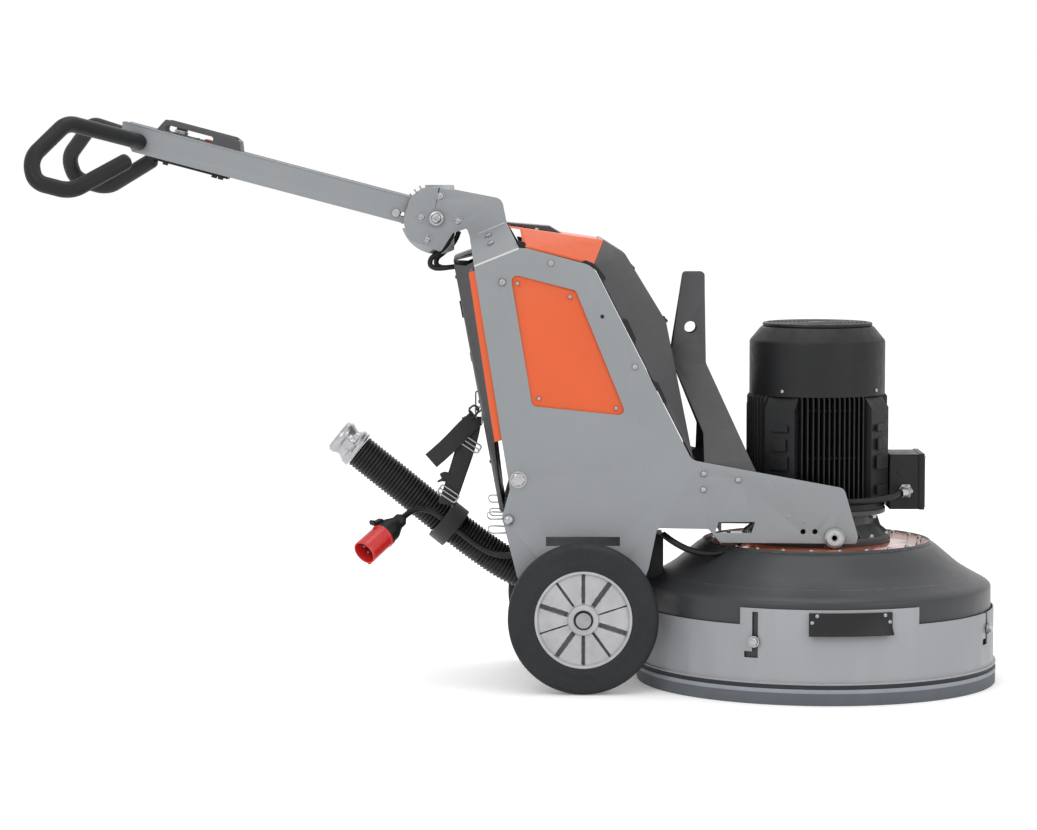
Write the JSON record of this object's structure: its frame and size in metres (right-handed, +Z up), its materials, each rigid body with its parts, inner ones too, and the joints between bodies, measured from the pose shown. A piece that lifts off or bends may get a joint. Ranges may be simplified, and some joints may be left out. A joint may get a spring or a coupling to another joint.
{
  "type": "concrete grinder",
  "caption": "Walk-behind planetary concrete grinder: wheeled cabinet, tilting handle, floating motor head with a dust skirt, suction hose and mains lead.",
  "frame": {"origin": "on the floor, at the middle of the machine's length and width", "axes": "+X to the front, where the grinding head is; -Y is the machine's right-hand side; +Z up"},
  "size_m": [2.2117, 0.862, 1.2995],
  "materials": {
    "grey_paint": "satin powder coat",
    "orange_paint": "satin powder coat",
    "dark_paint": "fine texture powder coat",
    "cover_paint": "glossy dark paint",
    "copper_paint": "satin paint",
    "motor_paint": "satin black",
    "adapter_paint": "satin",
    "zinc": "zinc plated",
    "dark_bolt": "blackened",
    "machined_steel": "machined",
    "cast_aluminium": "sand cast",
    "turned_aluminium": "turned",
    "skirt_steel": "brushed sheet",
    "tyre_rubber": "moulded",
    "grip_rubber": "matt",
    "seal_rubber": "matt",
    "hose_plastic": "ribbed",
    "lead_jacket": "matt",
    "plug_red": "moulded",
    "black_plastic": "moulded",
    "green_plastic": "moulded",
    "red_plastic": "moulded",
    "webbing": "woven",
    "disc_paint": "worn paint",
    "drive_grey": "moulded",
    "belt_rubber": "matt"
  },
  "bodies": {
    "frame": {"side_plate_right": "grey_paint", "side_plate_left": "grey_paint", "cross_members": "dark_paint", "fasteners": "dark_bolt", "pivot_pins": "zinc", "index_plate": "machined_steel", "hood_top": "orange_paint", "hood_front": "dark_paint", "rear_panel": "dark_paint", "side_cover_right": "orange_paint", "side_cover_left": "orange_paint", "drive_unit": "drive_grey", "lifting_bracket": "dark_paint", "axle_shaft": "zinc", "cable_gland": "black_plastic", "pivot_cables": "lead_jacket", "vacuum_hose": "hose_plastic", "hose_coupling": "turned_aluminium", "mains_lead": "lead_jacket", "mains_plug": "plug_red", "strap": "webbing"},
    "handle": {"handle_beam": "grey_paint", "handlebar": "black_plastic", "grip_right": "grip_rubber", "grip_left": "grip_rubber", "guard_bracket": "dark_paint", "control_pod": "black_plastic", "cable_duct": "black_plastic"},
    "speed_dial": {"speed_knob": "black_plastic"},
    "stop_mushroom": {"emergency_stop": "red_plastic"},
    "locking_pin": {"lock_pin": "zinc"},
    "start_push": {"start_button": "green_plastic"},
    "stop_push": {"stop_button": "red_plastic"},
    "power_switch": {"main_switch": "black_plastic"},
    "wheel_right": {"rim_right": "cast_aluminium", "tyre_right": "tyre_rubber"},
    "wheel_left": {"rim_left": "cast_aluminium", "tyre_left": "tyre_rubber"},
    "head": {"head_plate": "copper_paint", "head_cover": "cover_paint", "dust_port": "black_plastic", "motor_adapter": "adapter_paint", "motor_housing": "motor_paint", "fan_cowl": "motor_paint", "terminal_box": "motor_paint", "motor_conduit": "hose_plastic", "ring_track": "machined_steel", "skirt_guides": "zinc"},
    "rotor": {"motor_rotor": "machined_steel"},
    "carrier": {"planet_carrier": "machined_steel", "drive_belts": "belt_rubber"},
    "planet_1": {"planet_spindle_1": "machined_steel", "grinding_disc_1": "disc_paint"},
    "planet_2": {"planet_spindle_2": "machined_steel", "grinding_disc_2": "disc_paint"},
    "planet_3": {"planet_spindle_3": "machined_steel", "grinding_disc_3": "disc_paint"},
    "skirt": {"skirt_band": "skirt_steel", "brush_ring": "seal_rubber", "skirt_grips": "grip_rubber"}
  },
  "joints": [
    {"name": "handle_tilt", "type": "hinge", "parent": "frame", "child": "handle", "pos_m": [-0.19, 0, 1.072], "axis": [0, 1, 0], "range_deg": [-20, 60]},
    {"name": "speed_turn", "type": "hinge", "parent": "handle", "child": "speed_dial", "pos_m": [-0.77921, 0, 1.26905], "axis": [0.2555, 0, 0.9668], "range_deg": [-135, 135]},
    {"name": "emergency_press", "type": "slide", "parent": "handle", "child": "stop_mushroom", "axis": [0.2555, 0, 0.9668], "range_m": [-0.004, 0], "stiffness_N_per_m": 1500},
    {"name": "lock_slide", "type": "slide", "parent": "handle", "child": "locking_pin", "axis": [-0.9668, 0, 0.2555], "range_m": [-0.012, 0]},
    {"name": "start_press", "type": "slide", "parent": "frame", "child": "start_push", "axis": [-0.9834, 0, -0.1814], "range_m": [-0.003, 0], "stiffness_N_per_m": 1200},
    {"name": "stop_press", "type": "slide", "parent": "frame", "child": "stop_push", "axis": [-0.9834, 0, -0.1814], "range_m": [-0.003, 0], "stiffness_N_per_m": 1200},
    {"name": "power_turn", "type": "hinge", "parent": "frame", "child": "power_switch", "pos_m": [-0.12824, 0, 0.86099], "axis": [-0.9834, 0, -0.1814], "range_deg": [0, 90]},
    {"name": "wheel_right_spin", "type": "hinge", "parent": "frame", "child": "wheel_right", "pos_m": [0.145, -0.241, 0.171], "axis": [0, 1, 0], "continuous": true},
    {"name": "wheel_left_spin", "type": "hinge", "parent": "frame", "child": "wheel_left", "pos_m": [0.145, 0.241, 0.171], "axis": [0, 1, 0], "continuous": true},
    {"name": "head_float", "type": "hinge", "parent": "frame", "child": "head", "pos_m": [0.716, 0, 0.35], "axis": [0, 1, 0], "range_deg": [-1.5, 1.5]},
    {"name": "carrier_spin", "type": "hinge", "parent": "head", "child": "carrier", "pos_m": [0.692, 0, 0.12], "axis": [0, 0, 1], "continuous": true},
    {"name": "rotor_spin", "type": "hinge", "parent": "head", "child": "rotor", "pos_m": [0.692, 0, 0.5], "axis": [0, 0, 1], "continuous": true},
    {"name": "planet_1_spin", "type": "hinge", "parent": "carrier", "child": "planet_1", "pos_m": [0.957, 0, 0.1], "axis": [0, 0, 1], "continuous": true},
    {"name": "planet_2_spin", "type": "hinge", "parent": "carrier", "child": "planet_2", "pos_m": [0.5595, 0.2295, 0.1], "axis": [0, 0, 1], "continuous": true},
    {"name": "planet_3_spin", "type": "hinge", "parent": "carrier", "child": "planet_3", "pos_m": [0.5595, -0.2295, 0.1], "axis": [0, 0, 1], "continuous": true},
    {"name": "skirt_slide", "type": "slide", "parent": "head", "child": "skirt", "axis": [0, 0, 1], "range_m": [-0.02, 0.025]}
  ],
  "couplings": [
    {"joint": "rotor_spin", "follows": "carrier_spin", "ratio": -6.3},
    {"joint": "planet_1_spin", "follows": "carrier_spin", "ratio": -3.65},
    {"joint": "planet_2_spin", "follows": "carrier_spin", "ratio": -3.65},
    {"joint": "planet_3_spin", "follows": "carrier_spin", "ratio": -3.65}
  ]
}
